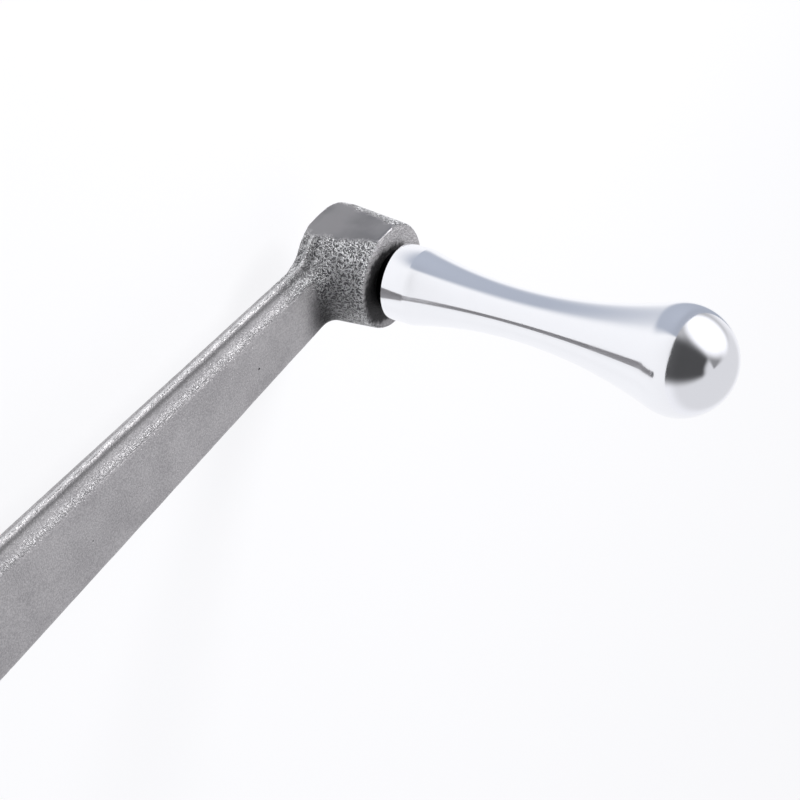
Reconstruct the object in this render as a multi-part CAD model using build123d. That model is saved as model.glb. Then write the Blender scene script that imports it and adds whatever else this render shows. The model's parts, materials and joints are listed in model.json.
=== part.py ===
from math import degrees, radians, tan
import os

from build123d import *

os.makedirs("parts", exist_ok=True)

# A cast-iron machine crank with a revolving grip. All sizes in millimetres.
# The origin is on the axis of the hub's bore, at the hub's shaft-side face.
# +Z runs out of the hub on the grip's side, +X runs from the hub to the grip.

# Crank layout
CRANK_RADIUS = 160.0          # hub bore axis to spindle axis
PARTING_HEIGHT = 16.3         # the mould's parting plane

# Hub
HUB_DIAMETER = 38.0           # at the parting plane
HUB_FRONT = 12.7              # hub face above the parting plane
HUB_DRAFT = 3.0               # degrees, slope of the hub's flanks away from the parting plane
HUB_ROUND = 1.0
HUB_SHOULDER = 5.5            # how far the hub stands out beside the arm's root
SHAFT_DIAMETER = 16.0
SHAFT_CHAMFER = 0.5

# Boss that holds the grip's spindle
BOSS_DIAMETER = 27.4          # at the parting plane
BOSS_FRONT = 15.5             # boss face above the parting plane
BOSS_BACK = 3.6               # boss back below the parting plane
BOSS_DRAFT = 4.7              # degrees
BOSS_OFFSET = 0.8             # the casting's middle stands this far beside the drilled hole
BOSS_FACE_ROUND = 0.8
BOSS_BACK_ROUND = 2.4

# Arm
ARM_WIDTH_AT_BOSS = 15.1
ARM_FRONT_AT_HUB = 6.1        # broad face above the parting plane, on the grip's side
ARM_FRONT_AT_BOSS = 4.9
ARM_BACK_AT_HUB = 3.4         # broad face below the parting plane
ARM_BACK_AT_BOSS = 3.2
ARM_DRAFT = 6.0               # degrees, slope of the arm's narrow sides
ARM_CROWN = 0.6               # rise of each broad face above its shoulders
ARM_SHOULDER = 2.2            # radius of the arm's long edges
FILLET_AT_HUB = 3.0
FILLET_AT_BOSS = 5.0

# Flash left along the parting line, and where it was ground off
FLASH_HEIGHT = 0.5
FLASH_THICKNESS = 1.0
FLASH_ROUND = 0.3
GROUND_DEPTH = 1.8           # flats ground on the sides of hub and boss

# Spindle
SHANK_DIAMETER = 10.0         # riveted in the boss
RIVET_HEAD_DIAMETER = 13.0
RIVET_CROWN = 0.6
COLLAR_DIAMETER = 14.0
COLLAR_THICKNESS = 2.0
JOURNAL_DIAMETER = 8.0
JOURNAL_LENGTH = 57.0         # from the collar's face
JOURNAL_CHAMFER = 0.8

# Snap ring that keeps the grip on the spindle
RING_WIRE = 0.9
RING_POSITION = 10.0          # from the collar's face to the middle of the wire
RING_ENGAGEMENT = 0.35        # how far the wire stands beyond the grip's bore
RING_GAP = 2.2                # opening between the wire's ends

# Grip
GRIP_LENGTH = 83.5
BALL_DIAMETER = 25.0
LAND_DIAMETER = 18.0
LAND_LENGTH = 6.0
WAIST_DIAMETER = 11.9
WAIST_POSITION = 31.0         # from the grip's inner end
GRIP_EDGE = 0.3
BORE_CHAMFER = 0.5
DRILL_POINT = 118.0           # degrees
END_CLEARANCE = 1.2           # spindle end to the bottom of the grip's bore

# Fits
RUNNING_CLEARANCE = 0.05      # radial, journal in the grip
AXIAL_PLAY = 0.2              # collar face to the grip's inner end
RING_CLEARANCE = 0.1          # wire to the walls of both ring grooves

# Places that follow from the sizes above
HUB_LENGTH = PARTING_HEIGHT + HUB_FRONT
ARM_WIDTH_AT_HUB = HUB_DIAMETER - 2 * HUB_SHOULDER
BOSS_FACE = PARTING_HEIGHT + BOSS_FRONT
BOSS_REAR = PARTING_HEIGHT - BOSS_BACK
COLLAR_FACE = BOSS_FACE + COLLAR_THICKNESS
SPINDLE_END = COLLAR_FACE + JOURNAL_LENGTH
RING_HEIGHT = COLLAR_FACE + RING_POSITION
GRIP_START = COLLAR_FACE + AXIAL_PLAY
BORE_RADIUS = JOURNAL_DIAMETER / 2 + RUNNING_CLEARANCE
RING_RADIUS = BORE_RADIUS + RING_ENGAGEMENT - RING_WIRE / 2
HUB_CENTRE = (0, 0)
BOSS_CENTRE = (CRANK_RADIUS, BOSS_OFFSET)
SPINDLE_CENTRE = (CRANK_RADIUS, 0)


def turned(centre, *outline):
    """A solid turned about an upright axis, from an outline in (radius, height)."""
    return Pos(*centre) * revolve(Plane.XZ * make_face(outline), Axis.Z)


# ---------------------------------------------------------------- crank casting

def arm_section(station, width, front, back):
    """One cross-section of the arm: crowned broad faces, rounded shoulders, drafted sides."""
    half = width / 2
    slope = tan(radians(ARM_DRAFT))
    upper = front - ARM_CROWN
    lower = back - ARM_CROWN
    upper_half = half - upper * slope
    lower_half = half - lower * slope
    section = make_face([
        Line((half, 0), (upper_half, upper)),
        ThreePointArc((upper_half, upper), (0, front), (-upper_half, upper)),
        Polyline((-upper_half, upper), (-half, 0), (-lower_half, -lower)),
        ThreePointArc((-lower_half, -lower), (0, -back), (lower_half, -lower)),
        Line((lower_half, -lower), (half, 0)),
    ])
    corners = section.vertices().filter_by(lambda corner: not -lower / 2 < corner.Y < upper / 2)
    plane = Plane(origin=(station, 0, PARTING_HEIGHT), x_dir=(0, 1, 0), z_dir=(1, 0, 0))
    return plane * fillet(corners, ARM_SHOULDER)


def cast_boss(diameter, front, back, draft):
    """A round boss about the parting plane's origin, narrowing both ways from that plane."""
    foot = diameter / 2
    front_radius = foot - front * tan(radians(draft))
    back_radius = foot - back * tan(radians(draft))
    return turned((0, 0), Polyline(
        (0, -back), (back_radius, -back), (foot, 0), (front_radius, front), (0, front), close=True))


def cast_together(body, boss, radius):
    """The body and a boss in one casting, with a fillet where they meet."""
    casting = body + boss
    return casting.fillet(radius, new_edges(body, boss, combined=casting))


def round_rim(casting, centre, height, radius):
    """Rounds the rim of the hub or boss at the given height."""
    def on_rim(edge):
        middle = edge.center()
        return abs(middle.Z - height) < 0.01 and abs(middle.X - centre[0]) < HUB_DIAMETER
    return casting.fillet(radius, casting.edges().filter_by(on_rim))


def flash():
    """The ridge along the parting line, from the middle of the hub to the middle of the boss."""
    at_hub = ARM_WIDTH_AT_HUB / 2 + FLASH_HEIGHT
    at_boss = ARM_WIDTH_AT_BOSS / 2 + FLASH_HEIGHT
    plan = make_face(Polyline(
        (0, -at_hub), (CRANK_RADIUS, -at_boss),
        (CRANK_RADIUS, at_boss), (0, at_hub), close=True))
    plan += Pos(*HUB_CENTRE) * Circle(HUB_DIAMETER / 2 + FLASH_HEIGHT)
    plan += Pos(*BOSS_CENTRE) * Circle(BOSS_DIAMETER / 2 + FLASH_HEIGHT)
    corners = plan.vertices().filter_by(lambda corner: 0 < corner.X < CRANK_RADIUS).sort_by(Axis.X)
    plan = fillet(corners[:2], FILLET_AT_HUB - FLASH_HEIGHT)
    corners = plan.vertices().filter_by(lambda corner: corner.X < CRANK_RADIUS).sort_by(Axis.X)
    plan = fillet(corners[-2:], FILLET_AT_BOSS - FLASH_HEIGHT)
    ridge = extrude(Pos(0, 0, PARTING_HEIGHT) * plan, FLASH_THICKNESS / 2, both=True)
    crest = ridge.edges().filter_by(lambda edge: abs(edge.center().Z - PARTING_HEIGHT) > 0.01)
    reach = Box(CRANK_RADIUS, 2 * HUB_DIAMETER, 2 * FLASH_THICKNESS)
    return fillet(crest, FLASH_ROUND) & Pos(CRANK_RADIUS / 2, 0, PARTING_HEIGHT) * reach


def ground_sides(centre, diameter):
    """What the wheel takes off both sides of a boss when its flash is ground away."""
    depth = HUB_DIAMETER
    away = diameter / 2 - GROUND_DEPTH + depth / 2
    block = Box(diameter, depth, 2 * HUB_LENGTH)
    return [Pos(centre[0], centre[1] + side * away, PARTING_HEIGHT) * block for side in (-1, 1)]


def shaft_bore():
    """The hub's through bore with a chamfer at each end."""
    radius = SHAFT_DIAMETER / 2
    mouth = radius + SHAFT_CHAMFER
    return turned(HUB_CENTRE, Polyline(
        (0, 0), (mouth, 0), (radius, SHAFT_CHAMFER), (radius, HUB_LENGTH - SHAFT_CHAMFER),
        (mouth, HUB_LENGTH), (0, HUB_LENGTH), close=True))


def spindle_hole():
    """The boss's drilled hole, countersunk at the back for the rivet head."""
    radius = SHANK_DIAMETER / 2
    head = RIVET_HEAD_DIAMETER / 2
    return turned(SPINDLE_CENTRE, Polyline(
        (0, BOSS_REAR), (head, BOSS_REAR), (radius, BOSS_REAR + head - radius),
        (radius, BOSS_FACE), (0, BOSS_FACE), close=True))


def crank_arm():
    """Hub, arm and boss in one casting, machined at its faces and holes."""
    arm = loft([
        arm_section(0, ARM_WIDTH_AT_HUB, ARM_FRONT_AT_HUB, ARM_BACK_AT_HUB),
        arm_section(CRANK_RADIUS, ARM_WIDTH_AT_BOSS, ARM_FRONT_AT_BOSS, ARM_BACK_AT_BOSS),
    ], ruled=True)
    # The boss starts deep enough for a full fillet, then its back is faced off.
    rough_back = ARM_BACK_AT_BOSS + FILLET_AT_BOSS + BOSS_BACK_ROUND
    boss = Pos(*BOSS_CENTRE, PARTING_HEIGHT) * cast_boss(BOSS_DIAMETER, BOSS_FRONT, rough_back, BOSS_DRAFT)
    casting = cast_together(arm, boss, FILLET_AT_BOSS)
    casting = split(casting, Plane.XY.offset(BOSS_REAR), keep=Keep.TOP)
    # The hub is turned half round so that its seam lies away from the arm.
    hub = cast_boss(HUB_DIAMETER, HUB_FRONT, PARTING_HEIGHT, HUB_DRAFT)
    casting = cast_together(casting, Pos(*HUB_CENTRE, PARTING_HEIGHT) * Rot(0, 0, 180) * hub,
                            FILLET_AT_HUB)
    casting = round_rim(casting, BOSS_CENTRE, BOSS_REAR, BOSS_BACK_ROUND)
    casting = round_rim(casting, BOSS_CENTRE, BOSS_FACE, BOSS_FACE_ROUND)
    casting = round_rim(casting, HUB_CENTRE, 0, HUB_ROUND)
    casting = round_rim(casting, HUB_CENTRE, HUB_LENGTH, HUB_ROUND)
    casting = casting + flash()
    casting = casting - ground_sides(BOSS_CENTRE, BOSS_DIAMETER)
    casting = casting - ground_sides(HUB_CENTRE, HUB_DIAMETER)
    return casting - shaft_bore() - spindle_hole()


# ---------------------------------------------------------------- spindle, ring and grip

def spindle():
    """Rivet head, shank, collar and journal turned from one bar, with the ring's groove."""
    shank = SHANK_DIAMETER / 2
    head = RIVET_HEAD_DIAMETER / 2
    journal = JOURNAL_DIAMETER / 2
    groove = BORE_RADIUS - RING_WIRE - RING_CLEARANCE
    low = RING_HEIGHT - RING_WIRE / 2 - RING_CLEARANCE
    high = RING_HEIGHT + RING_WIRE / 2 + RING_CLEARANCE
    crown = Line((0, BOSS_REAR), (0, BOSS_REAR - RIVET_CROWN)) + ThreePointArc(
        (0, BOSS_REAR - RIVET_CROWN), (head / 2, BOSS_REAR - 0.75 * RIVET_CROWN), (head, BOSS_REAR))
    body = Polyline(
        (head, BOSS_REAR), (shank, BOSS_REAR + head - shank), (shank, BOSS_FACE),
        (COLLAR_DIAMETER / 2, BOSS_FACE), (COLLAR_DIAMETER / 2, COLLAR_FACE), (journal, COLLAR_FACE),
        (journal, low), (groove, low), (groove, high), (journal, high),
        (journal, SPINDLE_END - JOURNAL_CHAMFER), (journal - JOURNAL_CHAMFER, SPINDLE_END),
        (0, SPINDLE_END), (0, BOSS_REAR))
    return turned(SPINDLE_CENTRE, crown, body)


def snap_ring():
    """A round-wire ring, open at one side so that it can be squeezed into its groove."""
    wire = Plane.XZ * Pos(RING_RADIUS, 0) * Circle(RING_WIRE / 2)
    opening = degrees(RING_GAP / RING_RADIUS)
    return Pos(*SPINDLE_CENTRE, RING_HEIGHT) * revolve(wire, Axis.Z, revolution_arc=360 - opening)


def grip_outline():
    """The grip's profile from its inner end: land, waist and ball, with tangent arcs between."""
    land = LAND_DIAMETER / 2
    waist = WAIST_DIAMETER / 2
    ball = BALL_DIAMETER / 2
    ball_centre = GRIP_LENGTH - ball
    reach = ball_centre - WAIST_POSITION
    neck = (reach ** 2 + waist ** 2 - ball ** 2) / (2 * (ball - waist))
    share = ball / (neck + ball)
    tangent_point = (share * (neck + waist), ball_centre - share * reach)
    return [
        Polyline((0, 0), (land - GRIP_EDGE, 0), (land, GRIP_EDGE), (land, LAND_LENGTH)),
        TangentArc((waist, WAIST_POSITION), (land, LAND_LENGTH), tangent=(0, -1)),
        TangentArc((waist, WAIST_POSITION), tangent_point, tangent=(0, 1)),
        TangentArc(tangent_point, (0, GRIP_LENGTH), tangent=(reach, neck + waist)),
        Line((0, GRIP_LENGTH), (0, 0)),
    ]


def grip_bore():
    """The blind bore for the journal, with the snap ring's groove and a drilled bottom."""
    start = GRIP_START
    bottom = SPINDLE_END + END_CLEARANCE
    groove = RING_RADIUS + RING_WIRE / 2 + RING_CLEARANCE
    low = RING_HEIGHT - RING_WIRE / 2 - RING_CLEARANCE
    high = RING_HEIGHT + RING_WIRE / 2 + RING_CLEARANCE
    cone = BORE_RADIUS / tan(radians(DRILL_POINT / 2))
    return turned(SPINDLE_CENTRE, Polyline(
        (0, start), (BORE_RADIUS + BORE_CHAMFER, start), (BORE_RADIUS, start + BORE_CHAMFER),
        (BORE_RADIUS, low), (groove, low), (groove, high), (BORE_RADIUS, high),
        (BORE_RADIUS, bottom), (0, bottom + cone), close=True))


def grip():
    """The revolving grip, turned and polished, closed at its ball end."""
    return turned((*SPINDLE_CENTRE, GRIP_START), *grip_outline()) - grip_bore()


export_step(crank_arm(), "parts/crank_arm.step")
export_step(spindle(), "parts/spindle.step")
export_step(snap_ring(), "parts/snap_ring.step")
export_step(grip(), "parts/grip.step")
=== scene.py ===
"""Looks for a cast-iron machine crank with a revolving polished grip (Blender 4.5).

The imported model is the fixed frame. The casting gets a shot-blasted skin laid over its own form,
the turned pieces are spun again from their profiles, and the rest is finish, light and camera.
"""

import json
import logging
import math
from dataclasses import dataclass, field
from enum import Enum

import bmesh
import bpy
from mathutils import Matrix, Vector, noise
from mathutils.bvhtree import BVHTree


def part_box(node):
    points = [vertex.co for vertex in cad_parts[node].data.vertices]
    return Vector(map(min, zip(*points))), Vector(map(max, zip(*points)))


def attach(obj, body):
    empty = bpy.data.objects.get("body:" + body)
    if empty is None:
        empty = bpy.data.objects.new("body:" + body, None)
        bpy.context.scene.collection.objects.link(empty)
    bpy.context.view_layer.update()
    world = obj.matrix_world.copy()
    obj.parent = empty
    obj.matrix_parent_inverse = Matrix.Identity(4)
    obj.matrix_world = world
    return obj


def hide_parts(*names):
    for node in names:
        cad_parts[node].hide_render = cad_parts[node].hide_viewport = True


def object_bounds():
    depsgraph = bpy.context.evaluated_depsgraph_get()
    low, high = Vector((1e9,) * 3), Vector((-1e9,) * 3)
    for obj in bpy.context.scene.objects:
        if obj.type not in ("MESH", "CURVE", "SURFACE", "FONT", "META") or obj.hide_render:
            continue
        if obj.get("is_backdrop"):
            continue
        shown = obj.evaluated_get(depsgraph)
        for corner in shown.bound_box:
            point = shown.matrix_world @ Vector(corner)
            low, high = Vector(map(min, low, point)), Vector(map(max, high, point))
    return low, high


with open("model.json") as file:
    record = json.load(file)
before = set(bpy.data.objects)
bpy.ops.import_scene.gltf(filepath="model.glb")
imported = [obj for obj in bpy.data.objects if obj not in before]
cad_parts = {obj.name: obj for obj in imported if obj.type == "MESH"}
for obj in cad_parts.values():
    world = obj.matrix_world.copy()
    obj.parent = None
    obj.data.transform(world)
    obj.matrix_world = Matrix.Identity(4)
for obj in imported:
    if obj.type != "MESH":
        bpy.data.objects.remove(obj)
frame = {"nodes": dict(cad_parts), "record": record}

log = logging.getLogger("crank")
MM = 0.001


# ---------------------------------------------------------------- colour and node helpers

def linear(hex_colour: str) -> tuple[float, float, float, float]:
    """Turns an sRGB hex colour into Blender's linear colour.

    Args:
        hex_colour: Six hex digits, such as "8e8e90".

    Returns:
        Red, green, blue and alpha, from 0 to 1.
    """
    def channel(value: float) -> float:
        """One channel by the sRGB curve."""
        return value / 12.92 if value <= 0.04045 else ((value + 0.055) / 1.055) ** 2.4

    parts = [int(hex_colour[start:start + 2], 16) / 255 for start in (0, 2, 4)]
    return (*[channel(part) for part in parts], 1.0)


def per_metre(size_mm: float) -> float:
    """The scale at which a noise on metre coordinates has features of this size."""
    return 1.0 / (size_mm * MM)


class Wiring:
    """A node tree being wired up."""

    def __init__(self, tree: bpy.types.NodeTree) -> None:
        """Takes the tree that gets the nodes."""
        self.tree = tree

    def add(self, kind: str, settings: dict[str, object] | None = None, **inputs: object) -> bpy.types.Node:
        """Adds one node with its settings and links.

        Args:
            kind: Blender's name of the node.
            settings: Properties of the node itself.
            inputs: Values or sockets for its inputs; an underscore stands for a space, and in0,
                in1 and so on are inputs by number.

        Returns:
            The new node.
        """
        node = self.tree.nodes.new(kind)
        for key, value in (settings or {}).items():
            setattr(node, key, value)
        for key, value in inputs.items():
            numbered = key.startswith("in") and key[2:].isdigit()
            socket = node.inputs[int(key[2:])] if numbered else node.inputs[key.replace("_", " ")]
            if isinstance(value, bpy.types.NodeSocket):
                self.tree.links.new(value, socket)
            else:
                socket.default_value = value
        return node

    def maths(self, operation: str, *values: object) -> bpy.types.NodeSocket:
        """The result of a sum on numbers or sockets."""
        wired = {f"in{index}": value for index, value in enumerate(values)}
        return self.add("ShaderNodeMath", {"operation": operation}, **wired).outputs[0]

    def mix_colour(self, share: object, first: object, second: object) -> bpy.types.NodeSocket:
        """A colour between two colours, by a share from 0 to 1."""
        settings = {"data_type": "RGBA", "clamp_factor": True}
        return self.add("ShaderNodeMix", settings, in0=share, in6=first, in7=second).outputs[2]

    def ramp(self, value: object, low: float, high: float, start: float = 0.0,
             end: float = 1.0) -> bpy.types.NodeSocket:
        """Maps a value's range smoothly on to another range.

        Args:
            value: A number or socket.
            low: Where its range starts.
            high: Where its range ends.
            start: What the range's start becomes.
            end: What the range's end becomes.

        Returns:
            The mapped value.
        """
        node = self.add("ShaderNodeMapRange", {"interpolation_type": "SMOOTHSTEP"}, Value=value)
        for name, number in (("From Min", low), ("From Max", high), ("To Min", start), ("To Max", end)):
            node.inputs[name].default_value = number
        return node.outputs["Result"]

    def along(self, place: bpy.types.NodeSocket, way: Vector) -> bpy.types.NodeSocket:
        """How far a place or direction reaches along a way."""
        reach = self.add("ShaderNodeVectorMath", {"operation": "DOT_PRODUCT"}, in0=place, in1=way)
        return reach.outputs["Value"]

    def towards(self, place: bpy.types.NodeSocket, heading: float, low: float, high: float,
                end: float = 1.0) -> bpy.types.NodeSocket:
        """Rises from 0 as a place or direction reaches further to a level heading.

        Args:
            place: The place or direction.
            heading: Degrees from +X.
            low: Reach at which the rise starts.
            high: Reach at which it ends.
            end: What it rises to.

        Returns:
            The risen value.
        """
        turn = math.radians(heading)
        way = Vector((math.cos(turn), math.sin(turn), 0.0))
        return self.ramp(self.along(place, way), low, high, 0.0, end)


class Recipe(Wiring):
    """A material being mixed: its node tree, its shader and its coordinates."""

    def __init__(self, name: str) -> None:
        """Starts an empty material with one Principled shader.

        Args:
            name: The material's plain name.
        """
        self.material = bpy.data.materials.new(name)
        self.material.use_nodes = True
        super().__init__(self.material.node_tree)
        self.shader = self.tree.nodes["Principled BSDF"]
        self.place = self.add("ShaderNodeTexCoord").outputs["Object"]

    def painted(self, name: str) -> bpy.types.NodeSocket:
        """A mask painted on the mesh."""
        return self.add("ShaderNodeAttribute", {"attribute_name": name}).outputs["Fac"]


# ---------------------------------------------------------------- finishes

class Mask(Enum):
    """Masks that the casting's skin carries, each from 0 to 1."""

    COARSE = "coarse_blast"
    GROUND = "ground_off"
    MACHINED = "machined"
    PAINTED_CREASE_SHADE = "hollow"
    FLASH = "flash_crest_highlight"
    COLLAR_SHADOW = "old_grease"


@dataclass(frozen=True)
class ShotBlastedIron:
    """Grey iron, sand cast and shot-blasted.

    The shot leaves a matt grey metal of small ridges and pits that sparkle, coarse round the boss and
    finer on the broad faces, with gas pinholes. Painted highlights lie on the ridges' tops and on the
    flash's crest; painted shade lies in the pits, the pinholes, the boss's fillet and the groove beside
    the flash, and a painted shadow on the boss's face round the collar. Ground and machined places on
    the same casting are smooth, and show the tool's fine lines.
    """

    ridge_highlight: str = "f6f6f7"         # painted highlight on the tops of the coarse skin
    pit_shade: str = "545456"           # painted shade in the bottoms of its pits
    face_light: str = "bdbbbc"
    face_dark: str = "9a989a"
    # painted shade in the boss's fillet and the groove beside the flash
    hollow: str = "232324"
    ground_colour: str = "727275"
    machined_colour: str = "aeaeb0"
    # painted shade in the gas pinholes
    pinhole_colour: str = "2f2f32"
    crest_highlight: str = "e0e0e1"         # painted highlight on the crest of the flash
    grease: str = "121213"        # painted shadow on the boss's face round the collar
    worm_mm: float = 0.66          # spacing of the ridges on the boss
    grain_mm: float = 0.42        # grain of the broad faces, a little coarse so that it shows
    pinhole_mm: float = 4.2       # spacing of the cells that may hold a pinhole
    relief_mm: float = 0.5        # height of the coarse skin
    tool_line_mm: float = 0.35    # grinding and facing lines, coarser than real ones to show at all

    def material(self) -> bpy.types.Material:
        """Mixes the material.

        Returns:
            The finished material.
        """
        mix = Recipe("shot_blasted_grey_iron")
        coarse = mix.painted(Mask.COARSE.value)
        ground = mix.painted(Mask.GROUND.value)
        machined = mix.painted(Mask.MACHINED.value)
        crest_highlight = mix.painted(Mask.FLASH.value)
        grease = mix.painted(Mask.COLLAR_SHADOW.value)
        smooth = mix.maths("MAXIMUM", ground, machined)
        rough = mix.maths("SUBTRACT", 1.0, smooth)
        worms = self.worms(mix)
        grain = mix.add("ShaderNodeTexNoise", Vector=mix.place, Scale=per_metre(self.grain_mm),
                        Detail=2.0, Roughness=0.6).outputs["Fac"]
        pinholes = mix.maths("MULTIPLY", self.pinholes(mix), rough)

        skin = mix.maths("ADD", mix.maths("MULTIPLY", worms, coarse),
                         mix.maths("MULTIPLY", grain, mix.ramp(coarse, 0.0, 1.0, 0.3, 0.75)))
        skin = mix.maths("SUBTRACT", mix.maths("MULTIPLY", skin, rough), pinholes)
        blasted = mix.add("ShaderNodeBump", Strength=1.0, Distance=self.relief_mm * MM, Height=skin)
        tooled = mix.add("ShaderNodeBump", Strength=0.35, Distance=0.05 * MM,
                         Height=self.tool_lines(mix, ground, machined), Normal=blasted.outputs["Normal"])

        patches = mix.add("ShaderNodeTexNoise", Vector=mix.place, Scale=per_metre(11.0), Detail=3.0)
        tone = mix.maths("MULTIPLY_ADD", mix.ramp(grain, 0.3, 0.7), 0.7,
                         mix.ramp(patches.outputs["Fac"], 0.35, 0.65, 0.0, 0.3))
        face = mix.mix_colour(tone, linear(self.face_dark), linear(self.face_light))
        # painted highlight on the ridges' tops and painted shade in the pits, following the worms' height
        sparkle = mix.maths("MULTIPLY_ADD", worms, 0.75, mix.ramp(grain, 0.35, 0.7, 0.0, 0.25))
        boss = mix.mix_colour(sparkle, linear(self.pit_shade), linear(self.ridge_highlight))
        colour = mix.mix_colour(coarse, face, boss)
        # painted shade in the boss's fillet and beside the flash
        colour = mix.mix_colour(mix.maths("MULTIPLY", mix.painted(Mask.PAINTED_CREASE_SHADE.value), 0.95), colour,
                                linear(self.hollow))
        # painted highlight on the flash's crest
        colour = mix.mix_colour(crest_highlight, colour, linear(self.crest_highlight))
        worn = mix.mix_colour(mix.ramp(patches.outputs["Fac"], 0.35, 0.65, 0.0, 0.2),
                              linear(self.ground_colour), linear(self.face_light))
        colour = mix.mix_colour(ground, colour, worn)
        colour = mix.mix_colour(machined, colour, linear(self.machined_colour))
        # painted shade in the gas pinholes
        colour = mix.mix_colour(pinholes, colour, linear(self.pinhole_colour))
        # painted shadow round the collar
        colour = mix.mix_colour(grease, colour, linear(self.grease))
        mix.tree.links.new(colour, mix.shader.inputs["Base Color"])
        mix.tree.links.new(mix.ramp(smooth, 0.0, 1.0, 0.5, 0.36), mix.shader.inputs["Roughness"])
        mix.tree.links.new(tooled.outputs["Normal"], mix.shader.inputs["Normal"])
        mix.shader.inputs["Metallic"].default_value = 0.75
        return mix.material

    def worms(self, mix: Recipe) -> bpy.types.NodeSocket:
        """Crooked ridges.

        Args:
            mix: The material.

        Returns:
            From 0 in the pits to 1 on the ridges' tops.
        """
        bend = mix.add("ShaderNodeTexNoise", Vector=mix.place, Scale=per_metre(2.0), Detail=1.0)
        bent = mix.add("ShaderNodeVectorMath", {"operation": "MULTIPLY_ADD"},
                       in0=bend.outputs["Color"], in1=(0.0016,) * 3, in2=mix.place).outputs[0]
        texture = mix.add("ShaderNodeTexNoise", Vector=bent, Scale=per_metre(self.worm_mm), Detail=1.5,
                         Roughness=0.5)
        away = mix.maths("ABSOLUTE", mix.maths("SUBTRACT", texture.outputs["Fac"], 0.5))
        return mix.ramp(away, 0.015, 0.11, 1.0, 0.0)

    def pinholes(self, mix: Recipe) -> bpy.types.NodeSocket:
        """A few small gas holes.

        Args:
            mix: The material.

        Returns:
            1 in the holes, 0 elsewhere.
        """
        cells = mix.add("ShaderNodeTexVoronoi", {"feature": "F1"}, Vector=mix.place,
                        Scale=per_metre(self.pinhole_mm))
        lucky = mix.add("ShaderNodeSeparateColor", Color=cells.outputs["Color"]).outputs["Red"]
        return mix.maths("MULTIPLY", mix.ramp(cells.outputs["Distance"], 0.04, 0.09, 1.0, 0.0),
                         mix.maths("GREATER_THAN", lucky, 0.7))

    def tool_lines(self, mix: Recipe, ground: bpy.types.NodeSocket,
                   machined: bpy.types.NodeSocket) -> bpy.types.NodeSocket:
        """Straight lines where the wheel ground the sides, rings where the tool faced the hub.

        Args:
            mix: The material.
            ground: Mask of the ground flats.
            machined: Mask of the machined places.

        Returns:
            The lines' height.
        """
        lines = mix.add("ShaderNodeTexNoise", Scale=1.0, Detail=2.0, Vector=mix.add(
            "ShaderNodeVectorMath", {"operation": "MULTIPLY"}, in0=mix.place,
            in1=(per_metre(6.0), per_metre(6.0), per_metre(self.tool_line_mm))).outputs[0])
        flat = mix.add("ShaderNodeVectorMath", {"operation": "MULTIPLY"}, in0=mix.place, in1=(1, 1, 0))
        radius = mix.add("ShaderNodeVectorMath", {"operation": "LENGTH"}, in0=flat.outputs[0])
        turn = mix.maths("MULTIPLY", radius.outputs["Value"], 2 * math.pi * per_metre(self.tool_line_mm))
        rings = mix.maths("MULTIPLY", mix.maths("SINE", turn), mix.maths("MULTIPLY", machined, 0.35))
        return mix.maths("MULTIPLY_ADD", lines.outputs["Fac"], ground, rings)


@dataclass(frozen=True)
class PolishedAluminium:
    """Aluminium bar, turned, then polished on a mop.

    It mirrors its surroundings in soft-edged bands along the grip, a little blue, with faint turning
    lines that blur the mirror across the bands and a few hairline scratches.
    """

    colour: str = "f5f6f9"
    turning_mm: float = 0.5       # spacing of the turning lines left by the polish
    roughness: float = 0.075

    def material(self) -> bpy.types.Material:
        """Mixes the material.

        Returns:
            The finished material.
        """
        mix = Recipe("polished_turned_aluminium")
        stretched = mix.add("ShaderNodeVectorMath", {"operation": "MULTIPLY"}, in0=mix.place,
                            in1=(per_metre(14.0), per_metre(14.0), per_metre(self.turning_mm))).outputs[0]
        turning = mix.add("ShaderNodeTexNoise", Vector=stretched, Scale=1.0, Detail=3.0)
        swirl = mix.add("ShaderNodeTexNoise", Vector=mix.place, Scale=per_metre(5.0), Detail=2.0)
        hair = mix.add("ShaderNodeTexNoise", Scale=1.0, Detail=1.0, Vector=mix.add(
            "ShaderNodeVectorMath", {"operation": "MULTIPLY"}, in0=mix.place,
            in1=(per_metre(0.25), per_metre(3.0), per_metre(1.4))).outputs[0])
        scratches = mix.ramp(hair.outputs["Fac"], 0.70, 0.74)
        relief = mix.maths("SUBTRACT", mix.maths("MULTIPLY", turning.outputs["Fac"], 0.25),
                           mix.maths("MULTIPLY", scratches, 0.6))
        bump = mix.add("ShaderNodeBump", Strength=0.12, Distance=0.02 * MM, Height=relief)
        gloss = mix.ramp(swirl.outputs["Fac"], 0.3, 0.7, self.roughness, self.roughness + 0.05)
        mix.shader.inputs["Base Color"].default_value = linear(self.colour)
        mix.shader.inputs["Metallic"].default_value = 1.0
        mix.tree.links.new(gloss, mix.shader.inputs["Roughness"])
        mix.tree.links.new(bump.outputs["Normal"], mix.shader.inputs["Normal"])
        return mix.material


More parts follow.
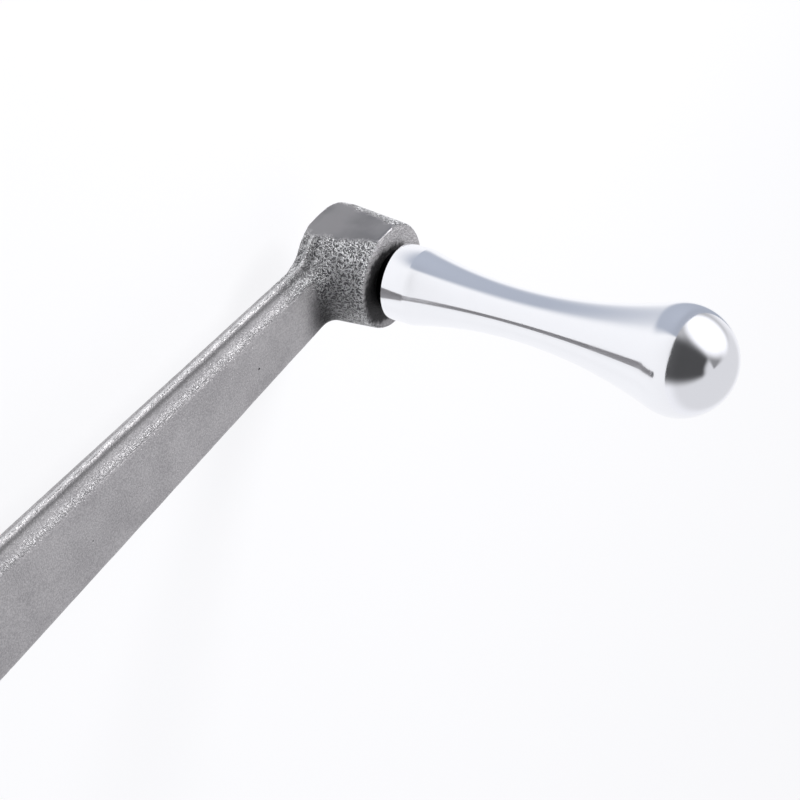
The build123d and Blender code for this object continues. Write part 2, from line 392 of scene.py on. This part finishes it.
@dataclass(frozen=True)
class TurnedSteel:
    """Free-cutting steel, turned, then blackened or left bright.

    Blackening leaves a near-black satin skin in which the turning lines still show as thin rings.
    """

    name: str
    colour: str
    worn: str
    roughness: float
    feed_mm: float = 0.3          # the tool's feed per turn

    def material(self) -> bpy.types.Material:
        """Mixes the material.

        Returns:
            The finished material.
        """
        mix = Recipe(self.name)
        stretched = mix.add("ShaderNodeVectorMath", {"operation": "MULTIPLY"}, in0=mix.place,
                            in1=(per_metre(9.0), per_metre(9.0), per_metre(self.feed_mm))).outputs[0]
        feed = mix.add("ShaderNodeTexNoise", Vector=stretched, Scale=1.0, Detail=2.0)
        wear = mix.add("ShaderNodeTexNoise", Vector=mix.place, Scale=per_metre(2.2), Detail=4.0)
        bump = mix.add("ShaderNodeBump", Strength=0.3, Distance=0.03 * MM, Height=feed.outputs["Fac"])
        share = mix.ramp(wear.outputs["Fac"], 0.45, 0.8, 0.0, 0.5)
        colour = mix.mix_colour(share, linear(self.colour), linear(self.worn))
        mix.tree.links.new(colour, mix.shader.inputs["Base Color"])
        mix.tree.links.new(bump.outputs["Normal"], mix.shader.inputs["Normal"])
        mix.shader.inputs["Metallic"].default_value = 1.0
        mix.shader.inputs["Roughness"].default_value = self.roughness
        return mix.material


# ---------------------------------------------------------------- turned pieces

@dataclass
class Turned:
    """A piece spun from a profile about an upright axis."""

    name: str
    body: str
    slot: str
    centre: Vector
    steps: int = 192

    def spin(self, profile: list[tuple[float, float]]) -> bpy.types.Object:
        """Spins a closed profile into a smooth mesh.

        Args:
            profile: Points of radius and height in metres, in order; a radius of 0 is on the axis.

        Returns:
            The new object, in the frame's place.
        """
        mesh = bpy.data.meshes.new(self.name)
        shape = bmesh.new()
        rows = []
        for radius, height in profile:
            count = self.steps if radius > 1e-7 else 1
            turn = 2 * math.pi / self.steps
            rows.append([shape.verts.new(self.centre + Vector(
                (radius * math.cos(turn * step), radius * math.sin(turn * step), height)))
                for step in range(count)])
        for lower, upper in zip(rows, rows[1:] + rows[:1]):
            if len(lower) == len(upper) == 1:
                continue
            for step in range(self.steps):
                after = (step + 1) % self.steps
                corners = [lower[step % len(lower)], lower[after % len(lower)],
                           upper[after % len(upper)], upper[step % len(upper)]]
                shape.faces.new(list(dict.fromkeys(corners)))
        bmesh.ops.recalc_face_normals(shape, faces=shape.faces)
        shape.to_mesh(mesh)
        shape.free()
        piece = bpy.data.objects.new(self.name, mesh)
        bpy.context.collection.objects.link(piece)
        mesh.shade_smooth()
        mesh.set_sharp_from_angle(angle=math.radians(28))
        return piece

    def fit(self, piece: bpy.types.Object, material: bpy.types.Material, node: str) -> None:
        """Dresses a piece and lets it stand for its CAD node.

        Args:
            piece: What was spun.
            material: Its finish.
            node: The CAD node's name.
        """
        piece.data.materials.append(material)
        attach(piece, self.body)
        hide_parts(node)
        log.info("%s: %d faces", piece.name, len(piece.data.polygons))


@dataclass
class Grip:
    """The revolving grip: land, waist and ball, polished all over and bored from its inner end."""

    land_diameter: float = 18.0
    land_length: float = 6.0
    waist_diameter: float = 11.9
    waist_position: float = 31.0
    edge: float = 0.3
    bore_radius: float = 4.05
    bore_depth: float = 58.0
    land_groove: float = 0.02     # depth of the fine line that ends the land
    finish: PolishedAluminium = field(default_factory=PolishedAluminium)

    def outline(self, length: float, ball: float) -> list[tuple[float, float]]:
        """The outer profile in millimetres, from the inner end's edge to the ball's tip.

        Args:
            length: The grip's length.
            ball: The ball's radius.

        Returns:
            Points of radius and height.
        """
        land, waist = self.land_diameter / 2, self.waist_diameter / 2
        ball_centre = length - ball
        rise = self.waist_position - self.land_length
        flare = (rise ** 2 + (land - waist) ** 2) / (2 * (land - waist))
        reach = ball_centre - self.waist_position
        neck = (reach ** 2 + waist ** 2 - ball ** 2) / (2 * (ball - waist))
        joint = math.atan2(reach, neck + waist)
        groove = self.land_length
        points = [(land - self.edge, 0.0), (land, self.edge)]
        points += [(land, groove - 0.12), (land - self.land_groove, groove - 0.02)]
        sweep = math.asin(rise / flare)
        for step in range(1, 41):
            angle = sweep * (1 - step / 40)
            points.append((waist + flare * (1 - math.cos(angle)),
                           self.waist_position - flare * math.sin(angle)))
        for step in range(1, 49):
            angle = joint * step / 48
            points.append((waist + neck * (1 - math.cos(angle)),
                           self.waist_position + neck * math.sin(angle)))
        for step in range(1, 65):
            angle = -joint + (math.pi / 2 + joint) * step / 64
            points.append((ball * math.cos(angle), ball_centre + ball * math.sin(angle)))
        points[-1] = (0.0, length)
        return points

    def build(self) -> bpy.types.Object:
        """Spins the grip, bore included.

        Returns:
            The grip.
        """
        low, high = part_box("grip")
        middle = (low + high) / 2
        turned = Turned("polished_grip", "grip_body", "polished_aluminium",
                        Vector((middle.x, middle.y, low.z)), steps=256)
        outer = self.outline((high.z - low.z) / MM, (high.x - low.x) / 2 / MM)
        bore = [(0.0, self.bore_depth + 2.4), (self.bore_radius, self.bore_depth),
                (self.bore_radius, 0.5), (self.bore_radius + 0.5, 0.0)]
        piece = turned.spin([(radius * MM, height * MM) for radius, height in bore + outer])
        turned.fit(piece, self.finish.material(), "grip")
        return piece


@dataclass
class Spindle:
    """The blackened pin: rivet head, shank, collar and journal."""

    head_diameter: float = 13.0
    shank_diameter: float = 10.0
    journal_diameter: float = 8.0
    collar_thickness: float = 2.0
    rivet_crown: float = 0.6
    ease: float = 0.2             # broken edges of the collar
    chamfer: float = 0.8          # at the journal's end
    finish: TurnedSteel = TurnedSteel("blackened_turned_steel", "17171a", "2f2e31", 0.34)

    def build(self, face: float) -> bpy.types.Object:
        """Spins the spindle.

        Args:
            face: Height of the boss's face, in metres.

        Returns:
            The spindle.
        """
        low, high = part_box("spindle")
        middle = (low + high) / 2
        turned = Turned("blackened_spindle", "crank", "blackened_steel",
                        Vector((middle.x, middle.y, 0.0)), steps=128)
        bottom, top, face = low.z / MM, high.z / MM, face / MM
        collar = (high.x - low.x) / 2 / MM
        head, shank, journal = self.head_diameter / 2, self.shank_diameter / 2, self.journal_diameter / 2
        rear, ledge = bottom + self.rivet_crown, face + self.collar_thickness
        dome = [(head * share, bottom + self.rivet_crown * share ** 2)
                for share in (0, 0.25, 0.5, 0.75, 0.9)]
        profile = dome + [
            (head, rear), (shank, rear + head - shank), (shank, face), (collar, face),
            (collar, ledge - self.ease), (collar - self.ease, ledge), (journal, ledge),
            (journal, top - self.chamfer), (journal - self.chamfer, top), (0.0, top)]
        piece = turned.spin([(radius * MM, height * MM) for radius, height in profile])
        turned.fit(piece, self.finish.material(), "spindle")
        return piece


# ---------------------------------------------------------------- the casting

@dataclass
class Casting:
    """Hub, arm and boss with the skin that the foundry left on them."""

    cell: float = 0.46            # size of the skin's facets, mm
    swell: float = 0.07           # depth of the slow waves in the skin, mm
    wave: float = 5.0             # length of those waves, mm
    face_coarseness: float = 0.15  # of the flanks', on the broad faces on the grip's side
    flash_wear: float = 0.22      # how unevenly the flash was broken off, mm
    boss_reach: float = 27.0      # the coarse blast reaches this far from the spindle's axis, mm
    parting_height: float = 16.3  # the mould's parting plane, mm
    boss_flat: float = 11.9       # the boss's ground flats, from its middle, mm
    boss_offset: float = 0.8      # that middle stands this far beside the spindle, mm
    hub_flat: float = 17.2        # the hub's ground flats, from its middle, mm
    boss_radius: float = 13.7     # both at the parting plane, mm
    hub_radius: float = 19.0
    boss_draft: float = 4.7       # degrees
    hub_draft: float = 3.0
    flat_fade: float = 1.5        # how far the flats fade into the cast skin, mm
    collar_shadow_reach: float = 12.5    # how far from the spindle's axis the painted shadow reaches at most, mm
    collar_shadow_least: float = 9.3     # and at least
    grease_heading: float = 176.0  # where it lies widest, degrees from +X
    finish: ShotBlastedIron = field(default_factory=ShotBlastedIron)

    def build(self) -> bpy.types.Object:
        """Lays the skin over the CAD casting and dresses it.

        Returns:
            The casting's skin.
        """
        source = frame["nodes"]["crank_arm"]
        surface = self.surface_of(source)
        piece = self.remeshed(source)
        self.lay_on(piece, surface)
        piece.data.materials.append(self.finish.material())
        piece.data.shade_smooth()
        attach(piece, "crank")
        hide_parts("crank_arm")
        log.info("%s: %d faces", piece.name, len(piece.data.polygons))
        return piece

    def surface_of(self, source: bpy.types.Object) -> BVHTree:
        """The CAD casting as a surface that points can be laid on."""
        shape = bmesh.new()
        shape.from_mesh(source.data)
        tree = BVHTree.FromBMesh(shape)
        shape.free()
        return tree

    def remeshed(self, source: bpy.types.Object) -> bpy.types.Object:
        """A copy of the CAD casting in small even facets.

        Args:
            source: The CAD node's object.

        Returns:
            The new object.
        """
        shape = bmesh.new()
        shape.from_mesh(source.data)
        bmesh.ops.remove_doubles(shape, verts=shape.verts, dist=1e-6)
        mesh = bpy.data.meshes.new("casting_form")
        shape.to_mesh(mesh)
        shape.free()
        form = bpy.data.objects.new("casting_form", mesh)
        bpy.context.collection.objects.link(form)
        even = form.modifiers.new("even", "REMESH")
        even.mode = "VOXEL"
        even.voxel_size = self.cell * MM
        ready = form.evaluated_get(bpy.context.evaluated_depsgraph_get())
        skin = bpy.data.meshes.new_from_object(ready)
        bpy.data.objects.remove(form)
        skin.materials.clear()
        piece = bpy.data.objects.new("cast_crank_arm", skin)
        bpy.context.collection.objects.link(piece)
        return piece

    def lay_on(self, piece: bpy.types.Object, surface: BVHTree) -> None:
        """Lays each point on the CAD surface, sinks it by the skin's waves and paints the masks.

        Args:
            piece: The skin.
            surface: The CAD casting's surface.
        """
        spindle_low, spindle_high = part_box("spindle")
        axis = (spindle_low + spindle_high) / 2
        mounts = {mount["name"]: mount for mount in frame["record"]["mounts"]}
        bore = mounts["hub_bore"]["dims"]["r_mm"]
        hub_height = mounts["hub_front"]["pos_m"][2] / MM
        marks = {mask: [] for mask in Mask}
        for point in piece.data.vertices:
            place, normal, _, _ = surface.find_nearest(point.co)
            from_spindle = math.hypot(place.x - axis.x, place.y - axis.y) / MM
            machined = self.machined(place, normal, bore, hub_height)
            ground = self.ground(place, from_spindle, axis.x) * (1.0 - machined)
            rough = 1.0 - max(machined, ground)
            edge = 1.0 - min(1.0, abs(place.z / MM - self.parting_height) / 1.2)
            wave = 0.5 + 0.5 * noise.fractal(place / (self.wave * MM), 0.9, 2.0, 3)
            chip = 0.5 + 0.5 * noise.noise(place / (2.3 * MM) + Vector((7.0, 3.0, 1.0)))
            sink = rough * (self.swell * wave + self.flash_wear * chip * edge * (1 - abs(normal.z)))
            point.co = place - normal * (sink * MM)
            near_boss = 1.0 - min(1.0, max(0.0, (from_spindle - 13.0) / (self.boss_reach - 13.0)))
            patchy = 0.5 + 0.5 * noise.noise(place / (6.0 * MM))
            # painted highlight stripe: the coarse skin's bright ridges lie thicker on the upward shoulders
            shoulder_highlight = max(0.0, 1.0 - abs(abs(normal.y) - 0.6) / 0.4) if normal.z > 0.1 else 0.2
            share = self.face_coarseness if normal.z > 0.9 else 1.0
            marks[Mask.COARSE].append(rough * share * min(1.0, near_boss * (0.6 + 0.7 * patchy)
                                                          + 0.35 * shoulder_highlight + 0.12 * patchy))
            marks[Mask.GROUND].append(ground)
            marks[Mask.MACHINED].append(machined)
            marks[Mask.PAINTED_CREASE_SHADE].append(self.hollow(place, from_spindle) * rough)
            marks[Mask.FLASH].append(self.crest_highlight(place, normal, chip) * rough)
            marks[Mask.COLLAR_SHADOW].append(self.grease(place - axis, normal, from_spindle, patchy))
        for mask, values in marks.items():
            layer = piece.data.attributes.new(mask.value, "FLOAT", "POINT")
            layer.data.foreach_set("value", values)

    def machined(self, place: Vector, normal: Vector, bore: float, hub_height: float) -> float:
        """The hub's bore and its two faces.

        Args:
            place: Where.
            normal: The surface's direction there.
            bore: The bore's radius, mm.
            hub_height: The hub's length, mm.

        Returns:
            1 there, 0 elsewhere.
        """
        from_axis, height = math.hypot(place.x, place.y) / MM, place.z / MM
        faced = abs(normal.z) > 0.98 and min(height, hub_height - height) < 0.2 and from_axis < 2.3 * bore
        return 1.0 if faced or from_axis < bore + 0.7 else 0.0

    def ground(self, place: Vector, from_spindle: float, spindle: float) -> float:
        """How far a place lies on the flats where the flash was ground off, with ragged soft edges.

        Args:
            place: Where.
            from_spindle: How far that is from the spindle's axis, mm.
            spindle: The spindle's place along the arm, in metres.

        Returns:
            1 well inside a flat, 0 on the cast skin.
        """
        at_boss = from_spindle < self.boss_reach
        if not at_boss and math.hypot(place.x, place.y) / MM > self.boss_reach:
            return 0.0
        flat, radius, draft, middle, offset = (
            (self.boss_flat, self.boss_radius, self.boss_draft, spindle, self.boss_offset) if at_boss
            else (self.hub_flat, self.hub_radius, self.hub_draft, 0.0, 0.0))
        radius -= abs(place.z / MM - self.parting_height) * math.tan(math.radians(draft))
        half_width = math.sqrt(max(0.0, radius ** 2 - flat ** 2))
        below = flat - abs(place.y / MM - offset)
        inside = half_width - abs(place.x - middle) / MM if below < 0.05 else -2.0 * below
        ragged = 1.3 * noise.noise(place / (2.4 * MM)) + 0.7 * noise.noise(place / (0.8 * MM))
        return min(1.0, max(0.0, 0.4 + (inside + ragged * (1.0 if at_boss else 0.35)) / self.flat_fade))

    def hollow(self, place: Vector, from_spindle: float) -> float:
        """Painted shade in the boss's fillet, heavier away from the window, and in the groove beside the
        flash.

        Args:
            place: Where.
            from_spindle: How far that is from the spindle's axis, mm.

        Returns:
            From 0 to 1.
        """
        above = place.z / MM - self.parting_height
        outward, upward = (from_spindle - 15.5) / 3.6, (above - 6.5) / 6.0
        fillet = math.exp(-outward ** 2 - upward ** 2) if above > 0 else 0.0
        beside = 0.6 * math.exp(-((above - 1.5) / 0.7) ** 2)
        return min(1.0, fillet * min(1.0, 0.75 - 0.5 * place.y / (8.0 * MM)) + beside)

    def crest_highlight(self, place: Vector, normal: Vector, chip: float) -> float:
        """A painted highlight on the crest of the flash.

        Args:
            place: Where.
            normal: The surface's direction there.
            chip: How far the flash is chipped there, from 0 to 1.

        Returns:
            1 on a whole crest, less where it is chipped, 0 elsewhere.
        """
        if abs(normal.z) >= 0.9:
            return 0.0
        away = abs(place.z / MM - self.parting_height)
        return max(0.0, min(1.0, 1.6 - away / 0.45)) * (1.0 - 0.5 * chip)

    def grease(self, place: Vector, normal: Vector, from_spindle: float, patchy: float) -> float:
        """Painted shadow on the boss's face close round the collar, widest on the arm's side, away from the
        window.

        Args:
            place: Where, from the spindle's axis.
            normal: The surface's direction there.
            from_spindle: How far that is from the axis, mm.
            patchy: Slow noise from 0 to 1.

        Returns:
            From 0 to 1.
        """
        if normal.z < 0.9 or from_spindle > self.boss_reach:
            return 0.0
        armward = math.cos(math.atan2(place.y, place.x) - math.radians(self.grease_heading))
        reach = self.collar_shadow_least + (self.collar_shadow_reach - self.collar_shadow_least) * max(0.0, 1.2 * armward - 0.2)
        speckle = 0.9 * noise.noise(place / (0.8 * MM))
        return min(0.93, max(0.0, (reach + 1.2 * (patchy - 0.5) + speckle - from_spindle) / 1.2))


# ---------------------------------------------------------------- stage, light and camera

@dataclass
class Studio:
    """A pale floor, soft lights and the camera."""

    floor_size: float = 4.0
    paper: str = "fdfdff"         # white round the crank
    paper_behind: str = "b0b6c3"  # painted shade: the sheet grades to pale grey-blue behind the crank
    behind_heading: float = 62.0  # degrees from +X, which way behind is
    behind_reach: tuple[float, float] = (56.0, 120.0)   # where the grade starts and ends, mm
    behind_side: tuple[float, float] = (-20.0, 45.0)    # and where it fades out at one side
    side_heading: float = 8.0
    keep_shadow: float = 0.14     # how much of the paper's own shading shows on its white
    window_way: Vector = field(default_factory=lambda: Vector((0.56, 0.63, 0.54)))
    window_size: tuple[float, float] = (0.15, 0.2)      # metres
    window_distance: float = 0.45
    window_power: float = 2.0     # watts
    room_colour: str = "f6f6fa"
    wall_level: float = 0.8
    window_level: float = 0.9     # the wall round the window is this much brighter
    dark_level: float = 0.1       # of the walls' level, where the camera stands
    dark_heading: float = 141.0

    def build(self) -> None:
        """Sets floor, surroundings and light."""
        low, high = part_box("spindle")
        axis = (low + high) / 2
        axis.z = high.z
        self.floor(axis)
        self.surroundings()
        self.window(axis)

    def floor(self, axis: Vector) -> None:
        """A pale paper floor that keeps the crank's shadow, with painted shade grading it to grey-blue
        behind.

        Camera, mirrored and transmitted rays all see the same paper, so the polished metal shows the
        background that the camera sees.

        Args:
            axis: Top of the spindle, from whose foot the paper's painted shade is graded.
        """
        shape = bmesh.new()
        bmesh.ops.create_grid(shape, x_segments=1, y_segments=1, size=self.floor_size / 2)
        mesh = bpy.data.meshes.new("floor")
        shape.to_mesh(mesh)
        shape.free()
        floor = bpy.data.objects.new("floor", mesh)
        floor.location.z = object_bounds()[0].z - 0.0002
        bpy.context.collection.objects.link(floor)
        floor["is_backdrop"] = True
        mix = Recipe("matt_graded_paper")
        from_foot = mix.add("ShaderNodeVectorMath", {"operation": "SUBTRACT"}, in0=mix.place,
                            in1=(axis.x, axis.y, 0.0)).outputs[0]
        start, end = (reach * MM for reach in self.behind_reach)
        inner, outer = (reach * MM for reach in self.behind_side)
        behind = mix.maths("MULTIPLY", mix.towards(from_foot, self.behind_heading, start, end),
                           mix.towards(from_foot, self.side_heading, inner, outer))
        # painted shade on the paper behind the crank, standing in for less light there
        graded = mix.mix_colour(behind, linear(self.paper), linear(self.paper_behind))
        shaded = mix.add("ShaderNodeBsdfDiffuse", Color=graded)
        white = mix.add("ShaderNodeEmission", Color=graded, Strength=1.0)
        lit = mix.add("ShaderNodeMixShader", Fac=self.keep_shadow, in1=white.outputs[0],
                      in2=shaded.outputs[0])
        rays = mix.add("ShaderNodeLightPath")
        mirrored = mix.maths("MAXIMUM", rays.outputs["Is Glossy Ray"], rays.outputs["Is Transmission Ray"])
        seen = mix.maths("MAXIMUM", rays.outputs["Is Camera Ray"], mirrored)
        both = mix.add("ShaderNodeMixShader", Fac=seen, in1=shaded.outputs[0], in2=lit.outputs[0])
        mix.tree.links.new(both.outputs[0], mix.tree.nodes["Material Output"].inputs["Surface"])
        mix.tree.nodes.remove(mix.shader)
        mesh.materials.append(mix.material)

    def surroundings(self) -> None:
        """A pale room with a bright window on one side and a dim corner where the camera stands."""
        world = bpy.data.worlds.new("pale_room")
        world.use_nodes = True
        world.node_tree.nodes.clear()
        mix = Wiring(world.node_tree)
        direction = mix.add("ShaderNodeTexCoord").outputs["Generated"]
        height = mix.add("ShaderNodeSeparateXYZ", Vector=direction).outputs["Z"]
        flat = mix.add("ShaderNodeVectorMath", {"operation": "MULTIPLY"}, in0=direction, in1=(1, 1, 0))
        normal = mix.add("ShaderNodeVectorMath", {"operation": "NORMALIZE"}, in0=flat.outputs[0])
        level_way = normal.outputs[0]
        sweep = mix.maths("SUBTRACT", mix.ramp(height, 0.0, 0.35, 1.0 - self.wall_level, 0.0),
                          mix.towards(level_way, 50.0, 0.5, 0.9, 0.5))
        glow = mix.ramp(mix.along(direction, self.window_way.normalized()), 0.70, 0.88,
                        0.0, self.window_level)
        level = mix.maths("ADD", mix.maths("ADD", self.wall_level, sweep), glow)
        behind_camera = mix.maths("MULTIPLY", mix.towards(level_way, self.dark_heading, 0.45, 0.92),
                                  mix.ramp(height, 0.9, 0.995, 1.0, 0.0))
        dark = mix.ramp(behind_camera, 0.0, 1.0, 1.0, self.dark_level)
        room = mix.add("ShaderNodeBackground", Color=linear(self.room_colour),
                       Strength=mix.maths("MULTIPLY", level, dark))
        mix.add("ShaderNodeOutputWorld", Surface=room.outputs[0])
        bpy.context.scene.world = world

    def window(self, target: Vector) -> None:
        """Hangs the soft light of the window and turns it to the crank.

        Args:
            target: What it is turned to.
        """
        lamp = bpy.data.lights.new("window", "AREA")
        lamp.shape = "ELLIPSE"
        lamp.size, lamp.size_y = self.window_size
        lamp.energy = self.window_power
        away = self.window_way.normalized() * self.window_distance
        light = bpy.data.objects.new("window", lamp)
        light.location = target + away
        light.rotation_mode = "QUATERNION"
        light.rotation_quaternion = (-away).to_track_quat("-Z", "Y")
        bpy.context.collection.objects.link(light)


@dataclass
class ViewPoint:
    """The camera, given by what it looks at and from where."""

    aim: tuple[float, float, float] = (-15.8, -21.2, 8.7)   # from the spindle's axis at the boss's face, mm
    azimuth: float = 133.33       # of the camera seen from the crank, degrees from +X
    elevation: float = 28.93
    roll: float = 107.52          # turns the crank's arm down to the lower left
    distance: float = 459.0       # mm
    lens: float = 90.0

    def build(self, face: float) -> None:
        """Places the camera.

        Args:
            face: Height of the boss's face, in metres.
        """
        low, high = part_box("spindle")
        axis = (low + high) / 2
        target = Vector((axis.x, axis.y, face)) + Vector(self.aim) * MM
        turn, rise = math.radians(self.azimuth), math.radians(self.elevation)
        back = Vector((math.cos(turn) * math.cos(rise), math.sin(turn) * math.cos(rise), math.sin(rise)))
        level = Vector((-math.sin(turn), math.cos(turn), 0.0))
        upright = back.cross(level)
        lean = math.radians(self.roll)
        right = level * math.cos(lean) + upright * math.sin(lean)
        upward = back.cross(right)
        camera = bpy.data.objects.new("camera", bpy.data.cameras.new("camera"))
        camera.data.lens = self.lens
        camera.data.sensor_width = 36.0
        camera.data.clip_start = 0.01
        camera.matrix_world = Matrix.Translation(target + back * self.distance * MM) @ Matrix(
            (right, upward, back)).transposed().to_4x4()
        bpy.context.collection.objects.link(camera)
        bpy.context.scene.camera = camera


def main() -> None:
    """Builds the crank's pieces in order, then the studio."""
    logging.basicConfig(level=logging.INFO, format="%(name)s %(message)s")
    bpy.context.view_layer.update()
    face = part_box("crank_arm")[1].z
    Casting().build()
    Spindle().build(face)
    Grip().build()
    ring = frame["nodes"]["snap_ring"]
    steel = TurnedSteel("spring_steel_wire", "6f7276", "8a8d91", 0.3)
    ring.data.materials.clear()
    ring.data.materials.append(steel.material())
    Studio().build()
    ViewPoint().build(face)
    bpy.context.scene.view_settings.view_transform = "Standard"


if __name__ == "__main__":
    main()
